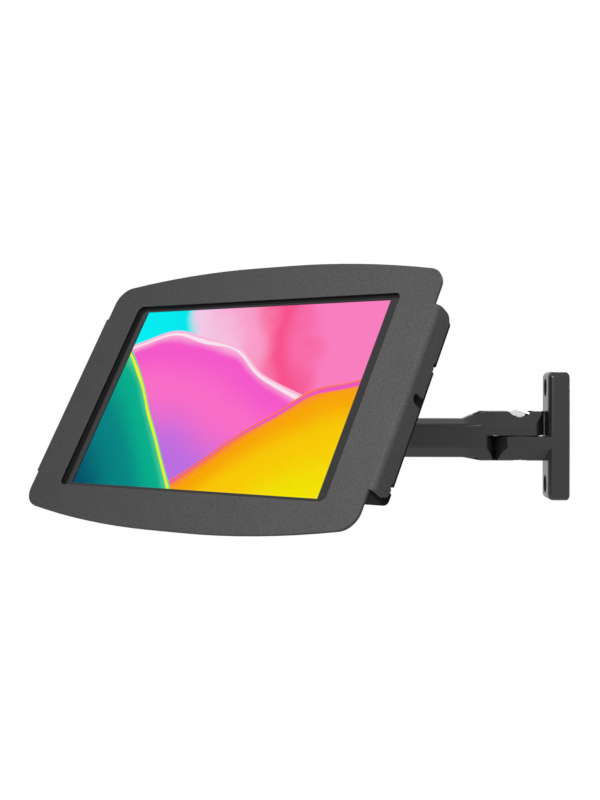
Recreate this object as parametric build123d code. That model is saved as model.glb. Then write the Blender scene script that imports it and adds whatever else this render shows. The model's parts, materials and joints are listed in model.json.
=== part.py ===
"""Wall mount with a short swing arm and a lockable enclosure that holds a tablet.

Millimetres, +Z up. The wall is the plane Y = 0 and the room lies towards -Y. The origin is the
centre of the wall plate's back face. Every piece is placed in the pose of the photograph: the
link straight out from the wall, the head swivelled to +X and the enclosure leaned back.
"""
import os
from math import sqrt

from build123d import *

# Rest pose, in degrees
SWIVEL_REST = 51.0        # head about the upright elbow pin, towards +X
LEAN_REST = 30.9          # enclosure leaned back from upright

# Clearances
RUN_CLEAR = 0.05          # radial, between a turning pin and its sleeve
SEAT_CLEAR = 0.04         # radial, between a piece and the hole that it is fixed in
PART_CLEAR = 0.3          # between faces of pieces that only lie near each other
SWING_CLEAR = 1.1         # between the link's round end and the wall plate
WASHER_CLEAR = 0.03       # along the axis, between the turning enclosure and its washers
GLASS_CLEAR = 0.05        # between the tablet's glass and its display

# Wall plate
PLATE_WIDTH = 30.0
PLATE_HEIGHT = 88.6
PLATE_THICKNESS = 15.0
PLATE_CORNER = 4.5
PLATE_FRONT_EDGE = 4.0
PLATE_BACK_EDGE = 2.5
SCREW_SPACING = 67.0
SCREW_RADIUS = 2.75
SCREW_HEAD_RADIUS = 6.3
SCREW_HEAD_DEPTH = 6.0

# Knuckles: eight-sided section, cut in half at mid height to lap over each other
KNUCKLE_WIDTH = PLATE_WIDTH
KNUCKLE_HALF_HEIGHT = 17.2
KNUCKLE_RADIUS = 17.5     # round end, about the pivot
SIDE_BAND = 7.8           # half height of the upright side
TOP_FLAT = 8.0            # half width of the level top
RIDGE_ROUND = 3.0
SHOULDER_BULGE = 20.0     # plan radius of the shoulder that faces the other half
SHOULDER_FLAT = 0.8       # taken off its nose
LAP_WASHER = 0.8          # thickness of the friction washer in the lap
LAP_WASHER_RADIUS = 14.0

# Link
LINK_LENGTH = 140.0
SLIM_HALF_WIDTH = 13.5
SLIM_TOP = 12.0
SLIM_BOTTOM = 15.0
SLIM_FLAT = 6.5
FLARE_START = 27.0        # from the pivot, where the knuckle begins to narrow
FLARE_LENGTH = 12.0
TIE_HOLE_RADIUS = 2.4
TIE_SINK_RADIUS = 5.5     # of the countersink, at the knuckle's height
TIE_SINK_DEPTH = 5.0
TIE_HOLE_OUT = 29.5       # from the pivot
TIE_HOLE_SIDE = 6.5       # from the arm's middle

# Upright pivot pins
PIN_RADIUS = 5.0
BUSH_WALL = 1.5
POCKET_RADIUS = 11.2      # around the domed head
NUT_POCKET_RADIUS = 8.7   # around the nut
POCKET_DEPTH = 4.7
PIN_WASHER = 0.9
PIN_WASHER_RADIUS = 9.4   # under the domed head
NUT_WASHER_RADIUS = 7.9   # under the nut
DOME_RADIUS = 9.2
DOME_RISE = 4.2
DOME_RIM = 0.6
PIN_NUT_FLATS = 13.0
PIN_NUT_HEIGHT = 3.6

# Swivel head: lug at the elbow, fork at the tilt axis
NECK = 48.0               # elbow pin to tilt axis
FORK_RADIUS = 13.0
CHEEK = 7.5
FORK_EDGE = 2.0
FORK_START = 19.5         # from the elbow pin, where the fork's cheeks begin
FORK_BLEND = 26.0         # from the elbow pin, where the cheeks begin to narrow to the eye
FORK_FLOOR_GAP = 2.5      # between the tongue's round end and the bottom of the fork's slot

# Tilt head: tongue in the fork, round flange behind the enclosure
TONGUE_WIDTH = 20.0
TONGUE_RADIUS = 12.0
TILT_WASHER = 1.0
TILT_WASHER_RADIUS = 10.5
TILT_PIN_RADIUS = 4.0
TILT_BUSH_WALL = 1.5
TILT_HEAD_RADIUS = 7.0
TILT_HEAD_HEIGHT = 4.5
TILT_KEY_FLATS = 5.0
TILT_KEY_DEPTH = 2.5
TILT_NUT_FLATS = 13.0
TILT_NUT_HEIGHT = 5.0
DISC_SPRING = 1.1
DISC_SPRING_RADIUS = 7.8
DISC_SPRING_RISE = 0.5
STEM_HALF_HEIGHT = 8.5
STEM_ROUND = 3.0
FLANGE_RADIUS = 24.0
FLANGE_THICKNESS = 6.0
FLANGE_EDGE = 1.5

# Tablet
TABLET_WIDTH = 245.2
TABLET_HEIGHT = 152.0
TABLET_THICKNESS = 7.5
TABLET_CORNER = 7.0
TABLET_EDGE = 1.6
TABLET_RIM = 1.0
GLASS = 0.6
BEZEL_SIDE = 14.6         # tablet's edge to its display, at the left and right
BEZEL_END = 7.0           # the same at the top and bottom
DISPLAY_THICKNESS = 1.5

# Enclosure, in its own frame: x right, y back from the front face, z up its face
FACE_OUT = 57.1           # tilt axis to the front face
COVER_SHEET = 2.0
SIDE_BORDER = 21.6        # tablet's edge to the edge of the face, at the left and right
CROWN_BORDER = 22.8       # the same at the middle of the top and bottom
CROWN_FLAT = 15.0         # half length of the straight middle of the top edge
CROWN_RADIUS = 720.0
EAR_CORNER = 13.5
FACE_EDGE = 0.5           # rounding of the face's edges
SIDE_SETBACK = 13.8       # how far the folded sides stop short of the tablet's top and bottom
SIDE_DEPTH = 15.0
FOLD_RADIUS = 4.0
SIDE_CORNER = 6.0         # of the folded sides' back corners
WINDOW_LAP_SIDE = 6.0     # how far the cover laps over the tablet, at the left and right
WINDOW_LAP_END = 4.0      # the same at the top and bottom
WINDOW_CORNER = 4.5
GASKET = 1.0
GASKET_SETBACK = 0.4
KEY_SLOT_HALF = 3.3       # open slot in the folded side
KEY_SLOT_Z = 1.9
KEY_SLOT_END = 6.2
NOTCH_HALF = 2.0          # see-through notches in the folded sides
PAN_NOTCH_HALF = 2.6      # the same in the back pan behind them
NOTCH_DEPTH = 13.6
NOTCH_REACH = 5.5         # how far a notch runs into the pan's back
UPPER_NOTCH_DOWN = 34.2   # from the upper end of the folded side
LOWER_NOTCH_UP = 9.2      # from its lower end

# Back pan: tray for the tablet with a wing at each side
PAN_SHEET = 1.5
PAN_BACK = 21.0           # outer face, from the front face
PAN_FOLD = 2.6
PAN_CORNER = 9.0
WING_CORNER = 3.4
WING_DROP = 1.0           # how far the wings reach below the folded sides

# Pads and spacers that hold the tablet in the pan
PAD_SIZE = (30.0, 18.0)
PAD_SETBACK = 15.0        # pad's outer edges to the tablet's edges
SPACER_HEIGHT = 8.0
SPACER_SETBACK = 2.7      # spacer's end to the end of the folded side

# Mounting plate that carries the pan and turns on the tilt head
TURN_PLATE = 3.0
TURN_PLATE_SIDE = 96.0
TURN_PLATE_CORNER = 9.0
DISH_RADIUS = 27.0
DISH_RISE = 4.0
TURN_WASHER = 1.0
TURN_WASHER_RADIUS = 22.0
TURN_HEAD_RADIUS = 12.0
TURN_HEAD_HEIGHT = 2.4
TURN_BOLT_RADIUS = 5.0
TURN_BOLT_GRIP = 16.0     # thread length in the tilt head
TURN_KEY_FLATS = 6.0
TURN_KEY_DEPTH = 1.6
PLATE_SCREWS = 75.0       # square pattern
PLATE_SCREW_RADIUS = 2.0
PLATE_SCREW_HEAD = 4.0
PLATE_SCREW_HEAD_HEIGHT = 2.4
DRIVE_WIDTH = 0.9         # cross recess
DRIVE_DEPTH = 1.3
CLINCH_RADIUS = 4.0
CLINCH_HEIGHT = 2.5

# Lock
LOCK_OUT = 9.6            # from the tablet's edge
LOCK_UP = 23.7            # from the lower end of the folded side
BARREL_RADIUS = 6.5
BARREL_RIM = 8.5
BARREL_RIM_HEIGHT = 1.5
PLUG_RADIUS = 4.0
PLUG_PROUD = 0.6
KEYWAY_WIDTH = 1.2
KEYWAY_LENGTH = 5.2
KEYWAY_DEPTH = 4.0
LOCK_NUT_FLATS = 16.0
LOCK_NUT_HEIGHT = 2.4
CAM_THICKNESS = 1.5
CAM_LENGTH = 16.0
CAM_HALF_WIDTH = 4.0
CAM_SCREW_RADIUS = 2.8
CAM_SCREW_HEAD = 0.8
CATCH_SHEET = 1.5
CATCH_WIDTH = 9.0
CATCH_LIP = 10.0

# Worked out from the sizes above
PIVOT_OUT = PLATE_THICKNESS + KNUCKLE_RADIUS + SWING_CLEAR
LAP_HALF = LAP_WASHER / 2
SHOULDER = KNUCKLE_RADIUS + PART_CLEAR
POCKET_FLOOR = KNUCKLE_HALF_HEIGHT - POCKET_DEPTH
BUSH_RADIUS = PIN_RADIUS + RUN_CLEAR + BUSH_WALL
TILT_BUSH_RADIUS = TILT_PIN_RADIUS + RUN_CLEAR + TILT_BUSH_WALL
FORK_SLOT = TONGUE_WIDTH / 2 + TILT_WASHER
FORK_HALF = FORK_SLOT + CHEEK
FORK_FLOOR = NECK - TONGUE_RADIUS - FORK_FLOOR_GAP
DISPLAY_WIDTH = TABLET_WIDTH - 2 * BEZEL_SIDE
DISPLAY_HEIGHT = TABLET_HEIGHT - 2 * BEZEL_END
WINDOW_WIDTH = TABLET_WIDTH - 2 * WINDOW_LAP_SIDE
WINDOW_HEIGHT = TABLET_HEIGHT - 2 * WINDOW_LAP_END
EAR_HALF_WIDTH = TABLET_WIDTH / 2 + SIDE_BORDER
CROWN = TABLET_HEIGHT / 2 + CROWN_BORDER
SIDE_HALF_WIDTH = EAR_HALF_WIDTH + FOLD_RADIUS
SIDE_HALF_LENGTH = TABLET_HEIGHT / 2 - SIDE_SETBACK
NOTCHES_Z = (SIDE_HALF_LENGTH - UPPER_NOTCH_DOWN, LOWER_NOTCH_UP - SIDE_HALF_LENGTH)
COVER_INNER = SIDE_HALF_WIDTH - COVER_SHEET
WING_HALF = COVER_INNER - PART_CLEAR
PAN_FRONT = COVER_SHEET + PART_CLEAR
PAN_FLOOR = PAN_BACK - PAN_SHEET
TABLET_FRONT = COVER_SHEET + GASKET
TABLET_BACK = TABLET_FRONT + TABLET_THICKNESS
TRAY_HALF_WIDTH = TABLET_WIDTH / 2 + PART_CLEAR + PAN_SHEET
TRAY_HALF_HEIGHT = TABLET_HEIGHT / 2 + PART_CLEAR + PAN_SHEET
PLATE_BACK = PAN_BACK + TURN_PLATE
DISH_BACK = PLATE_BACK + DISH_RISE
DISH_FLOOR = PAN_BACK + DISH_RISE
FLANGE_FRONT = DISH_BACK + TURN_WASHER
FLANGE_BACK = FLANGE_FRONT + FLANGE_THICKNESS
PAD_X = TABLET_WIDTH / 2 - PAD_SETBACK - PAD_SIZE[0] / 2
PAD_Z = TABLET_HEIGHT / 2 - PAD_SETBACK - PAD_SIZE[1] / 2
SPACER_Z = SIDE_HALF_LENGTH - SPACER_SETBACK - SPACER_HEIGHT / 2
LOCK_X = TABLET_WIDTH / 2 + LOCK_OUT
LOCK_Z = LOCK_UP - SIDE_HALF_LENGTH
NUT_FRONT = PAN_FLOOR - LOCK_NUT_HEIGHT
CAM_FRONT = TABLET_BACK + PART_CLEAR + CAM_SCREW_HEAD
CAM_BACK = CAM_FRONT + CAM_THICKNESS

# Where each moving group sits at rest
WALL_PIVOT = Pos(0, -PIVOT_OUT, 0)
ELBOW = WALL_PIVOT * Pos(0, -LINK_LENGTH, 0) * Rot(0, 0, SWIVEL_REST)
TILT = ELBOW * Pos(0, -NECK, 0) * Rot(-LEAN_REST, 0, 0)
FACE = TILT * Pos(0, -FACE_OUT, 0)


# Building blocks
def slab(outline, front, back):
    """A flat piece with an upright outline (x, z), from one depth y to another."""
    return Pos(0, back, 0) * extrude(Plane.XZ * outline, back - front)


def post(radius, low, high):
    """An upright round bar."""
    return Pos(0, 0, (low + high) / 2) * Cylinder(radius, high - low)


def tube(outer, inner, low, high):
    """An upright ring."""
    return post(outer, low, high) - post(inner, low, high)


def hex_post(flats, low, high):
    """An upright six-sided bar, given across its flats."""
    return Pos(0, 0, low) * extrude(RegularPolygon(flats / sqrt(3), 6), high - low)


def along_depth(piece):
    """Turns an upright piece so that its z runs to the back, along y."""
    return Rot(-90, 0, 0) * piece


def along_width(piece):
    """Turns an upright piece so that its z runs along x."""
    return Rot(0, 90, 0) * piece


def four_places(half_x, half_z):
    return [Pos(x, 0, z) for x in (-half_x, half_x) for z in (-half_z, half_z)]


def block(width, front, back, low, high):
    """A plain block centred in x, from one y to another and one z to another."""
    return Pos(0, (front + back) / 2, (low + high) / 2) * Box(width, back - front, high - low)


# Knuckles and arm
def eight_sided(half_width, top, bottom, flat):
    """The cast section: upright sides, sloped facets and level top and bottom."""
    corners = [
        (half_width, SIDE_BAND), (flat, top), (-flat, top), (-half_width, SIDE_BAND),
        (-half_width, -SIDE_BAND), (-flat, -bottom), (flat, -bottom), (half_width, -SIDE_BAND),
    ]
    outline = make_face(Polyline(*corners, close=True))
    return fillet(outline.vertices(), RIDGE_ROUND)


def knuckle_section():
    half = KNUCKLE_HALF_HEIGHT
    return eight_sided(KNUCKLE_WIDTH / 2, half, half, TOP_FLAT)


def slim_section():
    return eight_sided(SLIM_HALF_WIDTH, SLIM_TOP, SLIM_BOTTOM, SLIM_FLAT)


def knuckle_bar(start, end):
    """Knuckle section along -Y, between two distances from the pivot."""
    return Pos(0, -start, 0) * extrude(Plane.XZ * knuckle_section(), end - start)


def round_end():
    """All that may remain of a bar beyond its pivot: a drum about the pin."""
    return post(KNUCKLE_RADIUS, -KNUCKLE_HALF_HEIGHT, KNUCKLE_HALF_HEIGHT)


def lower_cut():
    """Cutter that leaves a lap's upper half: all below it, up to the bulged shoulder."""
    height = KNUCKLE_HALF_HEIGHT + LAP_HALF
    reach = KNUCKLE_RADIUS + SHOULDER
    drum = Pos(0, SHOULDER_FLAT - SHOULDER - SHOULDER_BULGE, 0) * post(SHOULDER_BULGE, -height, height)
    nose = drum & block(2 * reach, -2 * reach, -SHOULDER, -height, height)
    return block(2 * reach, -reach, reach, LAP_HALF - height, LAP_HALF) - nose


def upper_cut():
    """The same above the lap, for the piece that carries the lower half."""
    return mirror(lower_cut(), about=Plane.XY)


def pin_pocket(radius):
    """Round pocket around a pin, in the top of the upper half."""
    return post(radius, POCKET_FLOOR, KNUCKLE_HALF_HEIGHT + 1)


def tie_hole():
    """Upright hole through a sloped facet of the arm's shoulder, countersunk at the top."""
    height = KNUCKLE_HALF_HEIGHT
    sink = Pos(0, 0, height - TIE_SINK_DEPTH / 2) * Cone(
        TIE_HOLE_RADIUS, TIE_SINK_RADIUS, TIE_SINK_DEPTH)
    return post(TIE_HOLE_RADIUS, -height - 1, height - TIE_SINK_DEPTH / 2) + sink


def link_bar():
    """The whole link before its ends are lapped: knuckle, flare, slim bar, flare, knuckle."""
    flare_end = FLARE_START + FLARE_LENGTH
    stations = [
        (0, knuckle_section()), (FLARE_START, knuckle_section()),
        (flare_end, slim_section()), (LINK_LENGTH - flare_end, slim_section()),
        (LINK_LENGTH - FLARE_START, knuckle_section()), (LINK_LENGTH, knuckle_section()),
    ]
    sections = [Plane.XZ.offset(distance) * section for distance, section in stations]
    bar = loft(sections, ruled=True)
    near_end = knuckle_bar(-KNUCKLE_RADIUS, 0) & round_end()
    far_end = Pos(0, -LINK_LENGTH, 0) * Rot(0, 0, 180) * near_end
    return bar + near_end + far_end


def arm_link():
    bore = post(BUSH_RADIUS + SEAT_CLEAR, -1, KNUCKLE_HALF_HEIGHT + 1)
    cuts = [lower_cut(), pin_pocket(POCKET_RADIUS), bore]
    cuts += [Pos(x, -TIE_HOLE_OUT, 0) * tie_hole() for x in (-TIE_HOLE_SIDE, TIE_HOLE_SIDE)]
    far = Pos(0, -LINK_LENGTH, 0) * Rot(0, 0, 180)
    link = link_bar()
    for cut in cuts:
        link = link - cut - far * cut
    return link


def lower_lug(start):
    """Lower half of a lap: a bar from beyond its shoulder to its round end about the pin."""
    lug = knuckle_bar(-KNUCKLE_RADIUS, 0) & round_end()
    lug = lug + knuckle_bar(0, start)
    lug = lug - upper_cut() - mirror(pin_pocket(NUT_POCKET_RADIUS), about=Plane.XY)
    return lug - post(PIN_RADIUS + SEAT_CLEAR, -KNUCKLE_HALF_HEIGHT - 1, 1)


# Pins that the lapped halves turn on
def pivot_bolt():
    """Shank with a polished domed head that stands out of the upper pocket."""
    seat = POCKET_FLOOR + PIN_WASHER
    foot = -POCKET_FLOOR - PIN_WASHER - PIN_NUT_HEIGHT
    sphere = (DOME_RADIUS ** 2 + DOME_RISE ** 2) / (2 * DOME_RISE)
    crown = Pos(0, 0, seat + DOME_RIM + DOME_RISE - sphere) * Sphere(sphere)
    head = post(DOME_RADIUS, seat, seat + DOME_RIM + DOME_RISE) & crown
    return post(PIN_RADIUS, foot, seat) + head


def pivot_washers():
    top = tube(PIN_WASHER_RADIUS, PIN_RADIUS + SEAT_CLEAR, POCKET_FLOOR, POCKET_FLOOR + PIN_WASHER)
    low = tube(NUT_WASHER_RADIUS, PIN_RADIUS + SEAT_CLEAR, -POCKET_FLOOR - PIN_WASHER, -POCKET_FLOOR)
    return Compound([top, low])


def pivot_nut():
    low = -POCKET_FLOOR - PIN_WASHER - PIN_NUT_HEIGHT
    nut = hex_post(PIN_NUT_FLATS, low, low + PIN_NUT_HEIGHT)
    return nut - post(PIN_RADIUS + SEAT_CLEAR, low - 1, low + PIN_NUT_HEIGHT + 1)


def lap_washer():
    return tube(LAP_WASHER_RADIUS, PIN_RADIUS + SEAT_CLEAR, -LAP_HALF, LAP_HALF)


def pivot_bush():
    return tube(BUSH_RADIUS, PIN_RADIUS + RUN_CLEAR, LAP_HALF, POCKET_FLOOR)


# Wall plate
def wall_plate():
    outline = RectangleRounded(PLATE_WIDTH, PLATE_HEIGHT, PLATE_CORNER)
    plate = slab(outline, -PLATE_THICKNESS, 0)
    plate = fillet(plate.faces().sort_by(Axis.Y)[0].edges(), PLATE_FRONT_EDGE)
    plate = fillet(plate.faces().sort_by(Axis.Y)[-1].edges(), PLATE_BACK_EDGE)
    lug = WALL_PIVOT * Rot(0, 0, 180) * lower_lug(PIVOT_OUT - PLATE_THICKNESS / 2)
    plate = plate + lug
    for z in (-SCREW_SPACING / 2, SCREW_SPACING / 2):
        hole = along_depth(post(SCREW_RADIUS, -PLATE_THICKNESS - 1, 1))
        sink_floor = SCREW_HEAD_DEPTH - PLATE_THICKNESS
        sink = along_depth(post(SCREW_HEAD_RADIUS, -PLATE_THICKNESS - 1, sink_floor))
        plate = plate - Pos(0, 0, z) * (hole + sink)
    return plate


# Swivel head
def fork_side():
    """Side view of the fork (y to the elbow, z up): from the knuckle's height to the tilt eye."""
    eye = Pos(-NECK, 0) * Circle(FORK_RADIUS)
    root = Pos(-(FORK_START + FORK_BLEND) / 2, 0) * Rectangle(
        FORK_BLEND - FORK_START, 2 * KNUCKLE_HALF_HEIGHT - 2 * FORK_EDGE)
    return make_hull(eye.edges() + root.edges())


def swivel_head():
    fork = extrude(Plane.YZ * fork_side(), FORK_HALF, both=True)
    fork = fillet(fork.edges().filter_by(Axis.X, reverse=True), FORK_EDGE)
    slot = block(
        2 * FORK_SLOT, -NECK - 2 * FORK_RADIUS, -FORK_FLOOR, -KNUCKLE_HALF_HEIGHT, KNUCKLE_HALF_HEIGHT)
    eye = Pos(0, -NECK, 0) * along_width(
        post(TILT_PIN_RADIUS + SEAT_CLEAR, -FORK_HALF - 1, FORK_HALF + 1))
    return lower_lug(FORK_BLEND) + (fork - upper_cut()) - slot - eye


def tilt_bolt():
    seat = FORK_HALF + PIN_WASHER
    tail = -FORK_HALF - DISC_SPRING - TILT_NUT_HEIGHT - 1
    head = post(TILT_HEAD_RADIUS, seat, seat + TILT_HEAD_HEIGHT)
    head = chamfer(head.edges().sort_by(Axis.Z)[-1], TILT_HEAD_HEIGHT / 8)
    key = hex_post(TILT_KEY_FLATS, seat + TILT_HEAD_HEIGHT - TILT_KEY_DEPTH, seat + TILT_HEAD_HEIGHT + 1)
    bolt = post(TILT_PIN_RADIUS, tail, seat) + head - key
    return Pos(0, -NECK, 0) * along_width(bolt)


def tilt_washers():
    """Friction washers at both sides of the tongue and a flat one under the bolt's head."""
    inner = TILT_PIN_RADIUS + SEAT_CLEAR
    friction = tube(TILT_WASHER_RADIUS, inner, TONGUE_WIDTH / 2, FORK_SLOT)
    flat = tube(TILT_HEAD_RADIUS + 1, inner, FORK_HALF, FORK_HALF + PIN_WASHER)
    washers = [friction, mirror(friction, about=Plane.XY), flat]
    return Compound([Pos(0, -NECK, 0) * along_width(washer) for washer in washers])


def disc_spring():
    """Coned washer between the fork and the tilt nut."""
    inner = TILT_PIN_RADIUS + SEAT_CLEAR
    wall = DISC_SPRING - DISC_SPRING_RISE
    low = -FORK_HALF - DISC_SPRING
    cone = Polyline(
        (inner, low), (DISC_SPRING_RADIUS, low + DISC_SPRING_RISE),
        (DISC_SPRING_RADIUS, low + DISC_SPRING_RISE + wall), (inner, low + wall), close=True)
    spring = revolve(Plane.XZ * make_face(cone), Axis.Z)
    return Pos(0, -NECK, 0) * along_width(spring)


def tilt_nut():
    top = -FORK_HALF - DISC_SPRING
    nut = hex_post(TILT_NUT_FLATS, top - TILT_NUT_HEIGHT, top)
    nut = nut - post(TILT_PIN_RADIUS + SEAT_CLEAR, top - TILT_NUT_HEIGHT - 1, top + 1)
    return Pos(0, -NECK, 0) * along_width(nut)


# Tilt head, about the tilt axis with the enclosure towards -Y
def tilt_head():
    front = FLANGE_FRONT - FACE_OUT
    back = FLANGE_BACK - FACE_OUT
    tongue = along_width(post(TONGUE_RADIUS, -TONGUE_WIDTH / 2, TONGUE_WIDTH / 2))
    stem = block(TONGUE_WIDTH, back, 0, -STEM_HALF_HEIGHT, STEM_HALF_HEIGHT)
    flange = along_depth(post(FLANGE_RADIUS, front, back))
    flange = fillet(flange.edges().filter_by(GeomType.CIRCLE), FLANGE_EDGE)
    collar = along_depth(Pos(0, 0, back + STEM_ROUND / 2) * Cone(
        TONGUE_WIDTH / 2 + 2 * STEM_ROUND, TONGUE_WIDTH / 2 + STEM_ROUND, STEM_ROUND))
    head = tongue + stem + flange + collar
    head = head - along_width(post(TILT_BUSH_RADIUS + SEAT_CLEAR, -TONGUE_WIDTH, TONGUE_WIDTH))
    return head - along_depth(post(TURN_BOLT_RADIUS + SEAT_CLEAR, front - 1, front + TURN_BOLT_GRIP + 1))


def tilt_bush():
    half = TONGUE_WIDTH / 2
    return along_width(tube(TILT_BUSH_RADIUS, TILT_PIN_RADIUS + RUN_CLEAR, -half, half))


# Turning joint between the tilt head and the enclosure, in the enclosure's frame
def turn_bolt():
    """Low-headed bolt in the dish of the mounting plate, screwed into the tilt head."""
    seat = DISH_FLOOR - TURN_WASHER
    head = post(TURN_HEAD_RADIUS, seat - TURN_HEAD_HEIGHT, seat)
    key = hex_post(TURN_KEY_FLATS, seat - TURN_HEAD_HEIGHT - 1, seat - TURN_HEAD_HEIGHT + TURN_KEY_DEPTH)
    shank = post(TURN_BOLT_RADIUS, seat, FLANGE_FRONT + TURN_BOLT_GRIP)
    return along_depth(head + shank - key)


def turn_washers():
    """Friction washers in front of and behind the dish's floor."""
    inner = TURN_BOLT_RADIUS + SEAT_CLEAR
    front = tube(TURN_HEAD_RADIUS, inner, DISH_FLOOR - TURN_WASHER, DISH_FLOOR - WASHER_CLEAR)
    back = tube(TURN_WASHER_RADIUS, inner, DISH_BACK + WASHER_CLEAR, FLANGE_FRONT)
    return Compound([along_depth(front), along_depth(back)])


def turn_plate():
    """Square plate with a round dish pressed back out of its middle."""
    outline = RectangleRounded(TURN_PLATE_SIDE, TURN_PLATE_SIDE, TURN_PLATE_CORNER)
    plate = slab(outline, PAN_BACK, PLATE_BACK)
    dish = along_depth(post(DISH_RADIUS, PAN_BACK, DISH_BACK))
    dish = fillet(dish.edges().sort_by(Axis.Y)[-1], DISH_RISE / 3)
    hollow = along_depth(post(DISH_RADIUS - TURN_PLATE, PAN_BACK - 1, DISH_FLOOR))
    bore = along_depth(post(TURN_BOLT_RADIUS + RUN_CLEAR, PAN_BACK, DISH_BACK + 1))
    plate = plate + dish - hollow - bore
    hole = along_depth(post(PLATE_SCREW_RADIUS + SEAT_CLEAR, PAN_BACK - 1, PLATE_BACK + 1))
    for place in four_places(PLATE_SCREWS / 2, PLATE_SCREWS / 2):
        plate = plate - place * hole
    return plate


def plate_screws():
    tip = PAN_FLOOR - CLINCH_HEIGHT
    top = PLATE_BACK + PLATE_SCREW_HEAD_HEIGHT
    head = post(PLATE_SCREW_HEAD, PLATE_BACK, top)
    head = fillet(head.edges().sort_by(Axis.Z)[-1], PLATE_SCREW_HEAD_HEIGHT / 2)
    screw = post(PLATE_SCREW_RADIUS, tip, PLATE_BACK) + head
    for turn in (0, 90):
        slot = Rot(0, 0, turn) * Box(PLATE_SCREW_HEAD, DRIVE_WIDTH, 2 * DRIVE_DEPTH)
        screw = screw - Pos(0, 0, top) * slot
    screw = along_depth(screw)
    return Compound([place * screw for place in four_places(PLATE_SCREWS / 2, PLATE_SCREWS / 2)])


def clinch_nuts():
    inner = PLATE_SCREW_RADIUS + SEAT_CLEAR
    nut = along_depth(tube(CLINCH_RADIUS, inner, PAN_FLOOR - CLINCH_HEIGHT, PAN_FLOOR))
    return Compound([place * nut for place in four_places(PLATE_SCREWS / 2, PLATE_SCREWS / 2)])


# Front cover
def face_outline():
    """Wide plate with gently arched top and bottom edges and straight ends."""
    reach = EAR_HALF_WIDTH - CROWN_FLAT
    drop = CROWN_RADIUS - sqrt(CROWN_RADIUS ** 2 - reach ** 2)
    middle = reach / 2
    sag = CROWN_RADIUS - sqrt(CROWN_RADIUS ** 2 - middle ** 2)
    right = ThreePointArc(
        (CROWN_FLAT, CROWN), (CROWN_FLAT + middle, CROWN - sag), (EAR_HALF_WIDTH, CROWN - drop))
    left = mirror(right, about=Plane.YZ)
    top = Line((-CROWN_FLAT, CROWN), (CROWN_FLAT, CROWN))
    lower = [mirror(edge, about=Plane.XZ) for edge in (right, left, top)]
    ends = [Line((x, CROWN - drop), (x, drop - CROWN)) for x in (-EAR_HALF_WIDTH, EAR_HALF_WIDTH)]
    outline = make_face([right, left, top] + lower + ends)
    corners = outline.vertices().group_by(lambda corner: abs(corner.X))[-1]
    return fillet(corners, EAR_CORNER)


def folded_sides():
    """Channel with a folded flange at each end of the face, notched and slotted at its back."""
    width = 2 * SIDE_HALF_WIDTH
    length = SIDE_HALF_LENGTH
    channel = block(width, 0, SIDE_DEPTH, -length, length)
    channel = fillet(channel.edges().filter_by(Axis.Z).group_by(Axis.Y)[0], FOLD_RADIUS)
    inside = block(2 * COVER_INNER, COVER_SHEET, SIDE_DEPTH + 1, -length - 1, length + 1)
    inside = fillet(inside.edges().filter_by(Axis.Z).group_by(Axis.Y)[0], FOLD_RADIUS - COVER_SHEET)
    channel = channel - inside
    back_corners = channel.edges().filter_by(Axis.X).group_by(Axis.Y)[-1]
    return fillet(back_corners, SIDE_CORNER)


def side_slot(half, z, end, back, left, right):
    """Cutter through an upright side wall: a slot with a round end, open to the back."""
    length = right - left
    bar = Pos((left + right) / 2, (end + half + back) / 2, z) * Box(length, back - end - half, 2 * half)
    return bar + Pos(0, end + half, z) * along_width(post(half, left, right))


def notches(half, sheet_inner):
    """Cutters for the see-through notches, from inside the fold out through both sides."""
    cuts = []
    for z in NOTCHES_Z:
        cut = side_slot(half, z, NOTCH_DEPTH, PAN_BACK + 1, sheet_inner, SIDE_HALF_WIDTH + 1)
        cuts += [cut, mirror(cut, about=Plane.YZ)]
    return cuts


def front_edges(piece):
    return piece.faces().sort_by(Axis.Y)[0].edges()


def front_cover():
    face = slab(face_outline(), 0, COVER_SHEET)
    cover = fillet(front_edges(face), FACE_EDGE) + folded_sides()
    window = RectangleRounded(WINDOW_WIDTH, WINDOW_HEIGHT, WINDOW_CORNER)
    cover = cover - slab(window, -1, COVER_SHEET + 1)
    rim = cover.faces().sort_by(Axis.Y)[0].inner_wires()[0].edges()
    cover = fillet(rim, FACE_EDGE)
    cover = cover - side_slot(
        KEY_SLOT_HALF, KEY_SLOT_Z, KEY_SLOT_END, SIDE_DEPTH + 1, COVER_INNER - 1, SIDE_HALF_WIDTH + 1)
    for cut in notches(NOTCH_HALF, COVER_INNER - 1):
        cover = cover - cut
    return cover


# Back pan
def pan_outline(inset):
    """Tray for the tablet with a wing at each side that fills the folded cover."""
    tray = RectangleRounded(
        2 * (TRAY_HALF_WIDTH - inset), 2 * (TRAY_HALF_HEIGHT - inset), PAN_CORNER - inset)
    length = 2 * SIDE_HALF_LENGTH + WING_DROP
    wing = RectangleRounded(2 * (WING_HALF - inset), length - 2 * inset, WING_CORNER - inset)
    return tray + Pos(0, -WING_DROP / 2) * wing


def fold_room():
    """The space inside the cover's folds, rounded like them at its front."""
    room = block(2 * WING_HALF, PAN_FRONT, PAN_BACK, -TRAY_HALF_HEIGHT, TRAY_HALF_HEIGHT)
    return fillet(room.edges().filter_by(Axis.Z).group_by(Axis.Y)[0], FOLD_RADIUS - COVER_SHEET)


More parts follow.
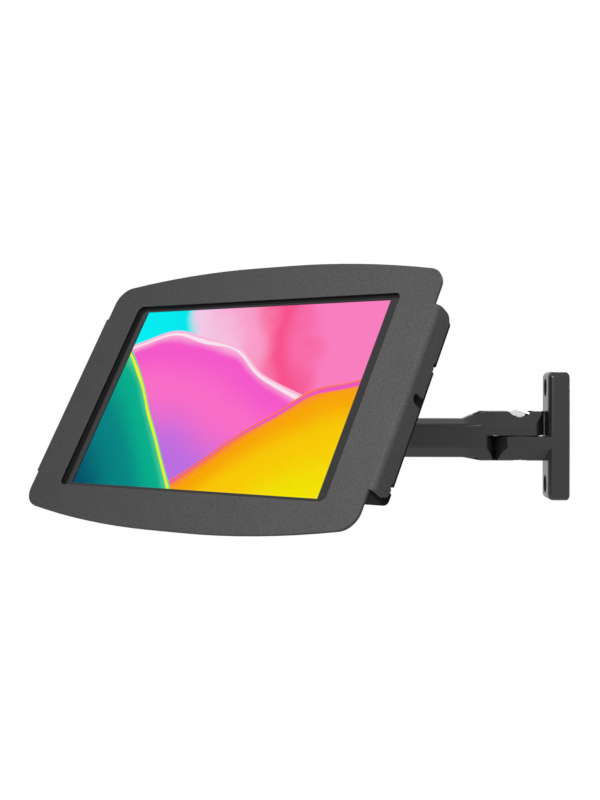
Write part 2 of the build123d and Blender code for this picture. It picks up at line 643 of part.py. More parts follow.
def back_pan():
    pan = slab(pan_outline(0), PAN_FRONT, PAN_BACK)
    pan = fillet(pan.faces().sort_by(Axis.Y)[-1].edges(), PAN_FOLD)
    hollow = slab(pan_outline(PAN_SHEET), PAN_FRONT - 1, PAN_FLOOR)
    hollow = fillet(hollow.faces().sort_by(Axis.Y)[-1].edges(), PAN_FOLD - PAN_SHEET)
    pan = (pan - hollow) & fold_room()
    hole = along_depth(post(PLATE_SCREW_RADIUS + SEAT_CLEAR, PAN_FLOOR - 1, PAN_BACK + 1))
    for place in four_places(PLATE_SCREWS / 2, PLATE_SCREWS / 2):
        pan = pan - place * hole
    for cut in notches(PAN_NOTCH_HALF, WING_HALF - NOTCH_REACH):
        pan = pan - cut
    lock_hole = along_depth(post(BARREL_RADIUS + SEAT_CLEAR, PAN_FLOOR - 1, PAN_BACK + 1))
    return pan - Pos(LOCK_X, 0, LOCK_Z) * lock_hole


# Tablet and what holds it
def window_gasket():
    outer = RectangleRounded(TABLET_WIDTH, TABLET_HEIGHT, TABLET_CORNER)
    inner = RectangleRounded(
        WINDOW_WIDTH + 2 * GASKET_SETBACK, WINDOW_HEIGHT + 2 * GASKET_SETBACK, WINDOW_CORNER)
    return slab(outer - inner, COVER_SHEET, TABLET_FRONT)


def tablet_housing():
    body = slab(RectangleRounded(TABLET_WIDTH, TABLET_HEIGHT, TABLET_CORNER), TABLET_FRONT, TABLET_BACK)
    body = fillet(body.faces().sort_by(Axis.Y)[-1].edges(), TABLET_EDGE)
    body = body - slab(glass_outline(SEAT_CLEAR), TABLET_FRONT - 1, TABLET_FRONT + GLASS)
    screen = Rectangle(DISPLAY_WIDTH + 2 * SEAT_CLEAR, DISPLAY_HEIGHT + 2 * SEAT_CLEAR)
    return body - slab(screen, TABLET_FRONT, TABLET_FRONT + GLASS + DISPLAY_THICKNESS)


def glass_outline(growth):
    margin = 2 * (TABLET_RIM - growth)
    return RectangleRounded(TABLET_WIDTH - margin, TABLET_HEIGHT - margin, TABLET_CORNER - TABLET_RIM)


def tablet_glass():
    return slab(glass_outline(0), TABLET_FRONT, TABLET_FRONT + GLASS)


def display_panel():
    front = TABLET_FRONT + GLASS + GLASS_CLEAR
    back = TABLET_FRONT + GLASS + DISPLAY_THICKNESS
    return slab(Rectangle(DISPLAY_WIDTH, DISPLAY_HEIGHT), front, back)


def rest_pads():
    pad = slab(Rectangle(*PAD_SIZE), TABLET_BACK, PAN_FLOOR)
    return Compound([place * pad for place in four_places(PAD_X, PAD_Z)])


def side_spacers():
    """Blocks in the wings that keep the tablet from sliding sideways."""
    inner = TABLET_WIDTH / 2 + PART_CLEAR
    outer = WING_HALF - PAN_FOLD
    spacer = slab(Rectangle(outer - inner, SPACER_HEIGHT), PAN_FRONT, PAN_FLOOR)
    return Compound([place * spacer for place in four_places((inner + outer) / 2, SPACER_Z)])


# Lock
def at_lock(piece):
    return Pos(LOCK_X, 0, LOCK_Z) * along_depth(piece)


def lock_barrel():
    rim = post(BARREL_RIM, PAN_BACK, PAN_BACK + BARREL_RIM_HEIGHT)
    rim = fillet(rim.edges().sort_by(Axis.Z)[-1], BARREL_RIM_HEIGHT / 2)
    body = post(BARREL_RADIUS, CAM_BACK + PART_CLEAR, PAN_BACK) + rim
    bore = post(PLUG_RADIUS + RUN_CLEAR, CAM_BACK, PAN_BACK + BARREL_RIM_HEIGHT + 1)
    return at_lock(body - bore)


def lock_nut():
    nut = hex_post(LOCK_NUT_FLATS, NUT_FRONT, PAN_FLOOR)
    return at_lock(nut - post(BARREL_RADIUS + SEAT_CLEAR, NUT_FRONT - 1, PAN_FLOOR + 1))


def lock_plug():
    back = PAN_BACK + BARREL_RIM_HEIGHT + PLUG_PROUD
    keyway = Pos(0, 0, back) * Box(KEYWAY_WIDTH, KEYWAY_LENGTH, 2 * KEYWAY_DEPTH)
    return at_lock(post(PLUG_RADIUS, CAM_BACK, back) - keyway)


def lock_cam():
    """Flat arm on the plug's inner end: its tip stands up behind the cover's catch."""
    tip = CAM_LENGTH - CAM_HALF_WIDTH
    outline = Circle(CAM_HALF_WIDTH) + Pos(0, tip) * Circle(CAM_HALF_WIDTH)
    outline = outline + Pos(0, tip / 2) * Rectangle(2 * CAM_HALF_WIDTH, tip)
    return Pos(LOCK_X, 0, LOCK_Z) * slab(outline, CAM_FRONT, CAM_BACK)


def cam_screw():
    return at_lock(post(CAM_SCREW_RADIUS, CAM_FRONT - CAM_SCREW_HEAD, CAM_FRONT))


def cover_catch():
    """Hook from the cover's back, with a lip behind the tip of the lock's cam."""
    lip_front = CAM_BACK + PART_CLEAR
    lip_back = lip_front + CATCH_SHEET
    left = LOCK_X + CAM_HALF_WIDTH + 2 * PART_CLEAR
    right = left + CATCH_SHEET
    z = LOCK_Z + CAM_LENGTH - CAM_HALF_WIDTH
    low, high = z - CATCH_WIDTH / 2, z + CATCH_WIDTH / 2
    stem = Pos((left + right) / 2, 0, 0) * block(CATCH_SHEET, COVER_SHEET, lip_back, low, high)
    lip = Pos(right - CATCH_LIP / 2, 0, 0) * block(CATCH_LIP, lip_front, lip_back, low, high)
    return stem + lip


def pieces():
    """Every piece by name, with where its group sits."""
    return {
        "wall_plate": (Pos(0, 0, 0), wall_plate()),
        "wall_pivot_bolt": (WALL_PIVOT, pivot_bolt()),
        "wall_pivot_washers": (WALL_PIVOT, pivot_washers()),
        "wall_pivot_nut": (WALL_PIVOT, pivot_nut()),
        "wall_lap_washer": (WALL_PIVOT, lap_washer()),
        "arm_link": (WALL_PIVOT, arm_link()),
        "pivot_bushes": (WALL_PIVOT, Compound([pivot_bush(), Pos(0, -LINK_LENGTH, 0) * pivot_bush()])),
        "swivel_head": (ELBOW, swivel_head()),
        "elbow_pivot_bolt": (ELBOW, pivot_bolt()),
        "elbow_pivot_washers": (ELBOW, pivot_washers()),
        "elbow_pivot_nut": (ELBOW, pivot_nut()),
        "elbow_lap_washer": (ELBOW, lap_washer()),
        "tilt_bolt": (ELBOW, tilt_bolt()),
        "tilt_washers": (ELBOW, tilt_washers()),
        "tilt_disc_spring": (ELBOW, disc_spring()),
        "tilt_nut": (ELBOW, tilt_nut()),
        "tilt_head": (TILT, tilt_head()),
        "tilt_bush": (TILT, tilt_bush()),
        "turn_bolt": (FACE, turn_bolt()),
        "turn_washers": (FACE, turn_washers()),
        "turn_plate": (FACE, turn_plate()),
        "plate_screws": (FACE, plate_screws()),
        "clinch_nuts": (FACE, clinch_nuts()),
        "back_pan": (FACE, back_pan()),
        "front_cover": (FACE, front_cover()),
        "cover_catch": (FACE, cover_catch()),
        "window_gasket": (FACE, window_gasket()),
        "tablet_housing": (FACE, tablet_housing()),
        "tablet_glass": (FACE, tablet_glass()),
        "display_panel": (FACE, display_panel()),
        "rest_pads": (FACE, rest_pads()),
        "side_spacers": (FACE, side_spacers()),
        "lock_barrel": (FACE, lock_barrel()),
        "lock_nut": (FACE, lock_nut()),
        "lock_plug": (FACE, lock_plug()),
        "lock_cam": (FACE, lock_cam()),
        "cam_screw": (FACE, cam_screw()),
    }


def main():
    os.makedirs("parts", exist_ok=True)
    for name, (place, piece) in pieces().items():
        export_step(place * piece, f"parts/{name}.step")


if __name__ == "__main__":
    main()
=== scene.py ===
"""Looks of a tablet wall mount: paint and metal finishes, rounded casting edges, pivot pins with
lock nuts, the lit tablet, and a plain white studio. All lengths are metres in the part's own frame.
"""
import json
from math import asin, cos, pi, radians, sin, tan

import bpy
from mathutils import Matrix, Vector

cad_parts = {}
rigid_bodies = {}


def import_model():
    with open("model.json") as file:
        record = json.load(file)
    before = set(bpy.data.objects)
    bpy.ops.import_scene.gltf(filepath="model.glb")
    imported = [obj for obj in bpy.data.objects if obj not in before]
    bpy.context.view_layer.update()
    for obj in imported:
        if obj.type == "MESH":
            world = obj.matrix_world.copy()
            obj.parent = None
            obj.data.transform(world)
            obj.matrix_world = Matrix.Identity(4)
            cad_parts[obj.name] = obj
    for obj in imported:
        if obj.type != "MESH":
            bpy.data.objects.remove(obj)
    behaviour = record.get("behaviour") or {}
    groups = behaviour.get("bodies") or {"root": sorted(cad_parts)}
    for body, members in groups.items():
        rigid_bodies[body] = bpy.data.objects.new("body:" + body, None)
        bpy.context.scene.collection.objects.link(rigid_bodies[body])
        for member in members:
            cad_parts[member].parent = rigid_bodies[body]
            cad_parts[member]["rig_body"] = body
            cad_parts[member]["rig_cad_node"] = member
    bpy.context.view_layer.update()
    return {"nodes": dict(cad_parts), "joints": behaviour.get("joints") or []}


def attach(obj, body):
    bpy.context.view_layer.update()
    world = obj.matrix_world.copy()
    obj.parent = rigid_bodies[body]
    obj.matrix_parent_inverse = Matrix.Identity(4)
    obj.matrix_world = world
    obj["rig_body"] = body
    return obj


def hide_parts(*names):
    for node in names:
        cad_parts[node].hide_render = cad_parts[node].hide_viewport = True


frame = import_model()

bl_info = {
    "name": "Tablet wall mount looks",
    "version": (1, 0, 0),
    "blender": (4, 5, 0),
    "location": "3D View > Sidebar > Tablet Mount",
    "description": "Finishes and fine pieces for a tablet enclosure on a swing arm",
    "category": "Object",
}

JOINTS = {joint["name"]: joint for joint in frame["joints"]}
PICTURE_MAP = "Picture"
VIEWING_RAYS = ("Is Camera Ray", "Is Glossy Ray", "Is Transmission Ray")

# Meshes
MERGE_DISTANCE = 2e-6
SMOOTH_ANGLE = radians(32)
FLAT_ANGLE = radians(0.3)     # faces closer to flat than this are joined before edges are rounded
ROUNDING_STEPS = 2

# Pivot bolts and lock nuts
BOLT_SIDES = 72
DOME_RINGS = 10
END_CHAMFER = 0.14            # share of the shank's radius
NUT_SIDES = 48
COLLAR_SHARE = 0.34           # of the nut's height
COLLAR_WIDTH = 0.93           # of the nut's lower face
COLLAR_ROUND = 0.3            # of the collar's height
CORNER_CUT = 0.97             # of half the flats, taken from the corner's radius for the cone's width
INSERT_WIDTH = 1.14           # of the bolt's shank
INSERT_DEPTH = 0.8            # of the collar's height
INSERT_SINK = 0.12            # of the insert's depth

# Powder coat
SPECKLE_GAIN = 1.9
PATCH_GAIN = 0.25             # of the broad patches, over the speckle
DARK_COAT, LIGHT_COAT = 0.72, 1.28
PEBBLE_SIZE = 1.1             # of the grain
WINDOW_SHADE_TONE = 0.1               # of the coat's colour: painted shade on the window's edge
RIM_DEPTH = 5e-4              # front rim of the cover's window, where the painted shade starts
EDGE_DEPTH = 2.15e-3          # just past the back of the cover's sheet, where the painted shade ends
EDGE_SHARPNESS = 2e4          # steepness of the painted shade's edges on the window, per metre

# Display
CLEAR_GLASS = 0.03            # what the glass hides of the display
DISPLAY_ASPECT = 0.625        # about its height over its width
BORDER_SHARPNESS = 900.0      # this and the next, per display width or height
HILL_SHARPNESS = 260.0
RIBBON_WIDTH = 0.012          # of the display's height
RIBBON_DEPTH = 0.02           # of a ribbon's middle under its hill's crest
RIBBON_SHARPNESS = 2.5

# Studio
FLOOR_SIZE = 30.0
FLOOR_GLOW = 0.8              # share of plain white in the floor near the object, all of it further out
KEY_PLACE = Vector((0.58, -0.29, 0.29))
KEY_SIZE = 0.22
BACK_PLACE = Vector((-1.1, 0.6, 0.5))
BACK_SIZE = 1.0
OBJECT_MIDDLE = Vector((0.05, -0.17, 0.0))
CAMERA_PLACE = Vector((0.96841, -0.16129, 0.03056))
CAMERA_YAW = radians(1.427)   # from straight along -X, towards -Y
CAMERA_DROP = radians(0.386)
CAMERA_ROLL = radians(0.089)
CAMERA_SHIFT = (-0.00025, 0.0007)
SENSOR_WIDTH = 36.0           # millimetres
NEAREST, FURTHEST = 0.01, 100.0


# Where the pieces are
def joint_place(name):
    return Vector(JOINTS[name]["pos_m"])


def joint_axis(name):
    return Vector(JOINTS[name]["axis"]).normalized()


def turned_frame(origin, right, back):
    """Matrix of a frame whose x points right, y back and z up, at an origin."""
    up = right.cross(back)
    rows = [[right[i], back[i], up[i], origin[i]] for i in range(3)]
    return Matrix(rows + [[0, 0, 0, 1]])


def wall_frame():
    return Matrix.Translation(joint_place("wall_swing"))


def elbow_frame():
    right = -joint_axis("head_tilt")
    return turned_frame(joint_place("elbow_swivel"), right, Vector((0, 0, 1)).cross(right))


def fork_frame():
    """At the tilt axis: z along the tilt bolt towards its head, x up."""
    along = -joint_axis("head_tilt")
    up = Vector((0, 0, 1))
    return turned_frame(joint_place("head_tilt"), up, along.cross(up))


def face_frame():
    """On the enclosure's front: x right, y back from it and z up it."""
    outward = joint_axis("face_turn")
    origin = joint_place("face_turn")
    cover = frame["nodes"]["front_cover"].data
    front = max((vertex.co - origin).dot(outward) for vertex in cover.vertices)
    return turned_frame(origin + front * outward, -joint_axis("head_tilt"), -outward)


# Objects and edit mode
def only(piece):
    """Selects one object alone and makes it active."""
    if bpy.context.object and bpy.context.object.mode != "OBJECT":
        bpy.ops.object.mode_set(mode="OBJECT")
    bpy.ops.object.select_all(action="DESELECT")
    piece.hide_set(False)
    piece.select_set(True)
    bpy.context.view_layer.objects.active = piece
    return piece


def apply_modifier(piece, kind, **settings):
    only(piece)
    modifier = piece.modifiers.new(kind.title(), kind)
    for name, value in settings.items():
        setattr(modifier, name, value)
    bpy.ops.object.modifier_apply(modifier=modifier.name)


def smooth(piece):
    only(piece)
    bpy.ops.object.shade_smooth_by_angle(angle=SMOOTH_ANGLE)
    apply_modifier(piece, "WEIGHTED_NORMAL", keep_sharp=True)


def merged_copy(node, name, rounding=0.0):
    """A copy of a CAD node with its triangles merged, its edges rounded and its shading smooth."""
    only(frame["nodes"][node])
    bpy.ops.object.duplicate()
    piece = bpy.context.object
    piece.name = piece.data.name = name
    del piece["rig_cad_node"]
    only(piece)
    bpy.ops.object.mode_set(mode="EDIT")
    bpy.ops.mesh.customdata_custom_splitnormals_clear()
    bpy.ops.mesh.select_all(action="SELECT")
    bpy.ops.mesh.remove_doubles(threshold=MERGE_DISTANCE)
    bpy.ops.mesh.normals_make_consistent(inside=False)
    if rounding:
        bpy.ops.mesh.dissolve_limited(angle_limit=FLAT_ANGLE)
    bpy.ops.object.mode_set(mode="OBJECT")
    if rounding:
        apply_modifier(piece, "BEVEL", width=rounding, segments=ROUNDING_STEPS, limit_method="ANGLE",
                       angle_limit=SMOOTH_ANGLE, use_clamp_overlap=True)
    smooth(piece)
    return piece


def trim(piece, material, node):
    """Gives a new piece its finish and lets it ride on the body of a CAD node."""
    piece.data.materials.clear()
    piece.data.materials.append(material)
    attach(piece, frame["nodes"][node]["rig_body"])
    return piece


def dress(piece, material, node):
    """Trims a new piece and lets it stand for the CAD node."""
    trim(piece, material, node)
    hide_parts(node)
    return piece


def settle(piece, place):
    """Moves a piece made about the origin to its place and leaves its object at the origin."""
    piece.data.transform(place)
    piece.data.update()
    return piece


def extent(node, to_local):
    """Lowest and highest corner of a CAD node, in a local frame."""
    corners = [to_local @ vertex.co for vertex in frame["nodes"][node].data.vertices]
    return [Vector([bound(corner[i] for corner in corners) for i in range(3)]) for bound in (min, max)]


def add_prism(name, sides, radius, low, high):
    """An upright prism about the origin, between two heights."""
    bpy.ops.object.select_all(action="DESELECT")
    bpy.ops.mesh.primitive_cylinder_add(
        vertices=sides, radius=radius, depth=high - low, location=(0, 0, (low + high) / 2))
    piece = bpy.context.object
    piece.name = piece.data.name = name
    bpy.ops.object.transform_apply(location=True, rotation=False, scale=False)
    return piece


def pick_end(piece, top):
    """Selects the top or bottom face alone, in edit mode."""
    only(piece)
    bpy.ops.object.mode_set(mode="EDIT")
    bpy.ops.mesh.select_mode(type="FACE")
    bpy.ops.mesh.select_all(action="DESELECT")
    bpy.ops.object.mode_set(mode="OBJECT")
    end = max(piece.data.polygons, key=lambda face: face.center.z if top else -face.center.z)
    end.select = True
    bpy.ops.object.mode_set(mode="EDIT")


def grow(rise, share):
    """Extrudes the selected face by a rise and scales it about the upright axis."""
    bpy.ops.mesh.extrude_region_move(TRANSFORM_OT_translate={"value": (0.0, 0.0, rise)})
    bpy.ops.transform.resize(value=(share, share, 1.0), center_override=(0.0, 0.0, 0.0))


def domed_bolt(name, node, frame_at, shank, chosen):
    """Round shank whose top face is drawn out to a rim and up in rings to a dome."""
    low, high = extent(node, frame_at.inverted())
    radius = (high.x - low.x) / 2
    seat = high.z - chosen.dome_rise - chosen.dome_rim
    piece = add_prism(name, BOLT_SIDES, shank, low.z, seat)
    pick_end(piece, top=False)
    bpy.ops.mesh.bevel(offset=shank * END_CHAMFER, segments=1)
    pick_end(piece, top=True)
    grow(0.0, radius / shank)
    grow(chosen.dome_rim, 1.0)
    sphere = (radius ** 2 + chosen.dome_rise ** 2) / (2 * chosen.dome_rise)
    widest = asin(radius / sphere)
    angles = [widest * (1 - step / DOME_RINGS) for step in range(DOME_RINGS)] + [0.0]
    for outer, inner in zip(angles, angles[1:-1]):
        grow(sphere * (cos(inner) - cos(outer)), sin(inner) / sin(outer))
    bpy.ops.mesh.extrude_region_move(
        TRANSFORM_OT_translate={"value": (0.0, 0.0, sphere * (1 - cos(angles[-2])))})
    bpy.ops.mesh.merge(type="CENTER")
    bpy.ops.object.mode_set(mode="OBJECT")
    settle(piece, frame_at)
    smooth(piece)
    return piece


def lock_nut(name, node, frame_at, shank):
    """Six-sided nut with coned corners, drawn out at its lower end to a collar with a recess.

    The cut with the cone leaves the lower end in several faces. The collar is drawn out of one of
    them only, so it isn't whole.
    """
    low, high = extent(node, frame_at.inverted())
    flat = (high.y - low.y) / 2
    corner = flat / cos(pi / 6)
    collar = (high.z - low.z) * COLLAR_SHARE
    nut = add_prism(name, 6, corner, low.z + collar, high.z)
    bpy.ops.transform.rotate(value=pi / 6, orient_axis="Z", center_override=(0.0, 0.0, 0.0))
    bpy.ops.object.transform_apply(location=False, rotation=True, scale=False)
    cone = add_prism("nut_cone", NUT_SIDES, corner, low.z + collar, high.z)
    for top in (False, True):
        pick_end(cone, top)
        bpy.ops.mesh.bevel(offset=corner - flat * CORNER_CUT, segments=1, offset_type="WIDTH")
        bpy.ops.object.mode_set(mode="OBJECT")
    apply_modifier(nut, "BOOLEAN", operation="INTERSECT", object=cone, solver="EXACT")
    bpy.data.objects.remove(cone)
    pick_end(nut, top=False)
    grow(0.0, COLLAR_WIDTH)
    grow(-collar * (1 - COLLAR_ROUND), 1.0)
    grow(-collar * COLLAR_ROUND, 1 - COLLAR_ROUND / 3)
    grow(0.0, shank * INSERT_WIDTH / (flat * CORNER_CUT * COLLAR_WIDTH * (1 - COLLAR_ROUND / 3)))
    grow(collar * INSERT_DEPTH, 1.0)
    bpy.ops.object.mode_set(mode="OBJECT")
    settle(nut, frame_at)
    smooth(nut)
    return nut


def nylon_insert(name, node, frame_at, shank):
    """Ring at a lock nut's lower end, around the end of the bolt."""
    low, high = extent(node, frame_at.inverted())
    depth = (high.z - low.z) * COLLAR_SHARE * INSERT_DEPTH
    outer = shank * INSERT_WIDTH
    proud = depth * INSERT_SINK
    ring = add_prism(name, NUT_SIDES, outer, low.z + proud, low.z + depth)
    pick_end(ring, top=False)
    bpy.ops.mesh.inset(thickness=outer - shank)
    bpy.ops.transform.translate(value=(0.0, 0.0, proud))
    bpy.ops.mesh.extrude_region_move(TRANSFORM_OT_translate={"value": (0.0, 0.0, depth - 3 * proud)})
    bpy.ops.object.mode_set(mode="OBJECT")
    settle(ring, frame_at)
    smooth(ring)
    return ring


# Shaders
class Value:
    """A shader socket that holds a number. Arithmetic on it adds Math nodes."""

    def __init__(self, finish, socket):
        self.finish = finish
        self.socket = socket

    def math(self, operation, first, second=0.0, clamp=False):
        settings = {"operation": operation, "use_clamp": clamp}
        made = self.finish.node("ShaderNodeMath", settings, {0: first, 1: second})
        return Value(self.finish, made.outputs[0])

    def __add__(self, other):
        return self.math("ADD", self, other)

    __radd__ = __add__

    def __sub__(self, other):
        return self.math("SUBTRACT", self, other)

    def __rsub__(self, other):
        return self.math("SUBTRACT", other, self)

    def __mul__(self, other):
        return self.math("MULTIPLY", self, other)

    __rmul__ = __mul__

    def __truediv__(self, other):
        return self.math("DIVIDE", self, other)

    def sine(self):
        return self.math("SINE", self)

    def clamped(self):
        return self.math("ADD", self, 0.0, clamp=True)

    def above(self, other):
        return self.math("MAXIMUM", self, other)

    def magnitude(self):
        return self.math("ABSOLUTE", self)


class Finish:
    """A material and the nodes that it is built from."""

    def __init__(self, name, **constants):
        self.material = bpy.data.materials.new(name)
        self.material.use_nodes = True
        self.tree = self.material.node_tree
        self.shader = self.tree.nodes["Principled BSDF"]
        for socket, value in constants.items():
            self.feed(self.shader.inputs[socket.replace("_", " ")], value)

    def feed(self, socket, value):
        if isinstance(value, Value):
            value = value.socket
        if isinstance(value, bpy.types.NodeSocket):
            self.tree.links.new(value, socket)
        elif socket.type == "RGBA":
            socket.default_value = (*value, 1.0)
        else:
            socket.default_value = value

    def node(self, kind, settings=None, inputs=None):
        made = self.tree.nodes.new(kind)
        for name, value in (settings or {}).items():
            if name == "stops":
                self.set_stops(made.color_ramp, value)
            else:
                setattr(made, name, value)
        for key, value in (inputs or {}).items():
            self.feed(made.inputs[key], value)
        return made

    def set_stops(self, ramp, stops):
        while len(ramp.elements) < len(stops):
            ramp.elements.new(1.0)
        for element, (position, colour) in zip(ramp.elements, stops):
            element.position = position
            element.color = (*colour, 1.0)

    def place(self, stretch=(1, 1, 1)):
        """Object coordinates, stretched along an axis where a finish has a direction."""
        source = self.node("ShaderNodeTexCoord").outputs["Object"]
        if stretch == (1, 1, 1):
            return source
        mapping = self.node("ShaderNodeMapping", {"vector_type": "POINT"}, {"Vector": source})
        mapping.inputs["Scale"].default_value = stretch
        return mapping.outputs["Vector"]

    def noise(self, grain, detail=2.0, roughness=0.5, stretch=(1, 1, 1)):
        """Even noise with grains of a size in metres, from 0 to 1."""
        made = self.node("ShaderNodeTexNoise", {}, {
            "Vector": self.place(stretch), "Scale": 1.0 / grain, "Detail": detail,
            "Roughness": roughness})
        return Value(self, made.outputs[0])

    def pebbles(self, grain):
        """Rounded cells, 0 at their middles."""
        made = self.node("ShaderNodeTexVoronoi", {"feature": "F1"}, {
            "Vector": self.place(), "Scale": 1.0 / grain})
        return Value(self, made.outputs["Distance"])

    def ramp(self, value, stops):
        made = self.node("ShaderNodeValToRGB", {"stops": stops}, {"Fac": value})
        made.color_ramp.interpolation = "EASE"
        return made.outputs["Color"]

    def mix(self, share, first, second):
        """Colour between two colours, or two links to colours."""
        made = self.node("ShaderNodeMix", {"data_type": "RGBA"})
        self.feed(made.inputs[0], share)
        self.feed(made.inputs[6], first)
        self.feed(made.inputs[7], second)
        return made.outputs[2]

    def colour(self, value):
        self.feed(self.shader.inputs["Base Color"], value)

    def mottle(self, share, colour, first, second):
        """Base colour that goes from one shade of a colour to another."""
        self.colour(self.mix(share, shaded(colour, first), shaded(colour, second)))

    def roughness(self, value):
        self.feed(self.shader.inputs["Roughness"], value)

    def relief(self, height, depth):
        """Bumps of a depth in metres on the surface."""
        made = self.node("ShaderNodeBump", {}, {
            "Height": height, "Distance": depth, "Strength": 1.0})
        self.feed(self.shader.inputs["Normal"], made.outputs["Normal"])


def shaded(colour, share):
    return tuple(channel * share for channel in colour)


def casting_paint(chosen):
    """Semi-gloss black paint over the slightly uneven skin of a casting."""
    finish = Finish("casting_paint", Specular_IOR_Level=0.5)
    skin = finish.noise(1.6e-3, detail=3.0)
    finish.mottle(finish.noise(2e-2), chosen.paint, 0.86, 1.16)
    finish.roughness(chosen.roughness + 0.06 * skin)
    finish.relief(skin + 0.35 * finish.noise(5e-4), chosen.skin_depth)
    return finish.material


def painted_window_shade(finish):
    """Where shade is painted on the coat: 1 on the edge of the cover's window, from its rounded front
    rim to the sheet's back, else 0.
    """
    face = face_frame()
    half = extent("window_gasket", face.inverted())[1]
    spot = finish.node("ShaderNodeMapping", {"vector_type": "TEXTURE"}, {
        "Vector": finish.place(), "Location": face.to_translation(), "Rotation": face.to_euler()})
    parts = finish.node("ShaderNodeSeparateXYZ", {}, {0: spot.outputs["Vector"]})
    across, back, up = (Value(finish, parts.outputs[axis]) for axis in "XYZ")
    beside = (half.x - across.magnitude()) * EDGE_SHARPNESS
    above = (half.z - up.magnitude()) * EDGE_SHARPNESS
    behind = (back - RIM_DEPTH) * EDGE_SHARPNESS
    before = (EDGE_DEPTH - back) * EDGE_SHARPNESS
    return beside.clamped() * above.clamped() * behind.clamped() * before.clamped()


def powder_coat(name, colour, sheen, chosen):
    """Matt powder coat with a fine pebbled texture and a faint speckle, and painted shade on the edge
    of the cover's window.
    """
    finish = Finish(name, Specular_IOR_Level=sheen)
    speckle = finish.noise(chosen.grain, detail=3.0, roughness=0.65)
    patch = finish.noise(3e-2)
    share = (speckle - 0.5) * SPECKLE_GAIN + 0.5 + PATCH_GAIN * (patch - 0.5)
    coat = finish.mix(share.clamped(), shaded(colour, DARK_COAT), shaded(colour, LIGHT_COAT))
    # painted shade: the coat turns dark on the window's edge, a recess that lies in shade
    finish.colour(finish.mix(painted_window_shade(finish), coat, shaded(colour, WINDOW_SHADE_TONE)))
    finish.roughness(0.40 + 0.12 * speckle)
    pebble = finish.pebbles(chosen.grain * PEBBLE_SIZE)
    finish.relief(0.6 * speckle + 0.4 * pebble, chosen.texture_depth)
    return finish.material


def polished_steel(chosen):
    """Mirror steel with a haze of fine scratches."""
    finish = Finish("polished_steel", Metallic=1.0)
    haze = finish.noise(4e-3, detail=4.0)
    finish.mottle(haze, chosen.bright, 0.94, 1.0)
    finish.roughness(0.07 + 0.09 * haze)
    finish.relief(finish.noise(2e-4, detail=1.0, stretch=(1, 1, 12)), depth=2e-7)
    return finish.material


def zinc_plate(chosen):
    """Zinc-plated steel with a cloudy, slightly warm lustre."""
    finish = Finish("zinc_plate", Metallic=1.0)
    cloud = finish.noise(2.5e-3, detail=4.0, roughness=0.6)
    finish.mottle(cloud, chosen.zinc, 0.8, 1.0)
    finish.roughness(0.28 + 0.16 * cloud)
    finish.relief(finish.noise(4e-4, detail=3.0), depth=2e-6)
    return finish.material


def black_oxide(chosen):
    """Blackened steel, slightly oily."""
    finish = Finish("black_oxide", Metallic=1.0)
    cloud = finish.noise(1.8e-3, detail=4.0, roughness=0.6)
    finish.mottle(cloud, chosen.oxide, 0.7, 1.4)
    finish.roughness(0.32 + 0.14 * cloud)
    finish.relief(finish.noise(3e-4, detail=3.0), depth=3e-6)
    return finish.material


def sintered_bronze(chosen):
    """Bronze pressed from powder: fine dark pores in a dull yellow-brown."""
    finish = Finish("sintered_bronze", Metallic=1.0)
    pores = ((0.32 - finish.pebbles(6e-4)) * 8.0).clamped()
    finish.mottle(pores, chosen.bronze, 1.0, 0.3)
    finish.roughness(0.38 + 0.3 * pores)
    finish.relief(1.0 - pores, depth=1e-5)
    return finish.material


def black_nylon(chosen):
    """Black moulded nylon with a faint moulded grain."""
    finish = Finish("black_nylon", Specular_IOR_Level=0.45)
    grain = finish.noise(5e-4, detail=3.0)
    finish.mottle(grain, chosen.nylon, 0.8, 1.2)
    finish.roughness(0.5 + 0.15 * grain)
    finish.relief(grain, depth=1e-5)
    return finish.material


def closed_foam(chosen):
    """Black closed-cell foam: open skin of small cells."""
    finish = Finish("closed_foam", Specular_IOR_Level=0.3)
    cells = finish.pebbles(7e-4)
    finish.mottle(cells.clamped(), chosen.foam, 1.3, 0.5)
    finish.roughness(0.85 + 0.1 * cells)
    finish.relief(1.0 - cells, depth=1.2e-4)
    return finish.material


def anodised_shell(chosen):
    """Blasted and anodised aluminium of the tablet's housing."""
    finish = Finish("anodised_shell", Metallic=1.0)
    blast = finish.noise(2.5e-4)
    finish.mottle(blast, chosen.shell, 0.92, 1.06)
    finish.roughness(0.36 + 0.08 * blast)
    finish.relief(blast, depth=4e-6)
    return finish.material


def picture_place(finish):
    """The two directions over the display, each from 0 to 1."""
    uv = finish.node("ShaderNodeUVMap", {"uv_map": PICTURE_MAP}).outputs["UV"]
    parts = finish.node("ShaderNodeSeparateXYZ", {}, {0: uv})
    return Value(finish, parts.outputs["X"]), Value(finish, parts.outputs["Y"])


def bordered_glass(chosen):
    """Cover glass: clear over the display, with a dark printed border round it."""
    finish = Finish("bordered_glass", Specular_IOR_Level=0.25)
    across, up = picture_place(finish)
    out_x = (across - 0.5).magnitude() - 0.5
    out_y = (up - 0.5).magnitude() - 0.5
    outside = (out_x.above(out_y * DISPLAY_ASPECT) * BORDER_SHARPNESS + 0.5).clamped()
    fleck = finish.noise(8e-4)
    finish.mottle(fleck, chosen.border, 0.92, 1.08)
    finish.roughness(0.16 + 0.04 * fleck)
    finish.feed(finish.shader.inputs["Alpha"], CLEAR_GLASS + (1 - CLEAR_GLASS) * outside)
    return finish.material


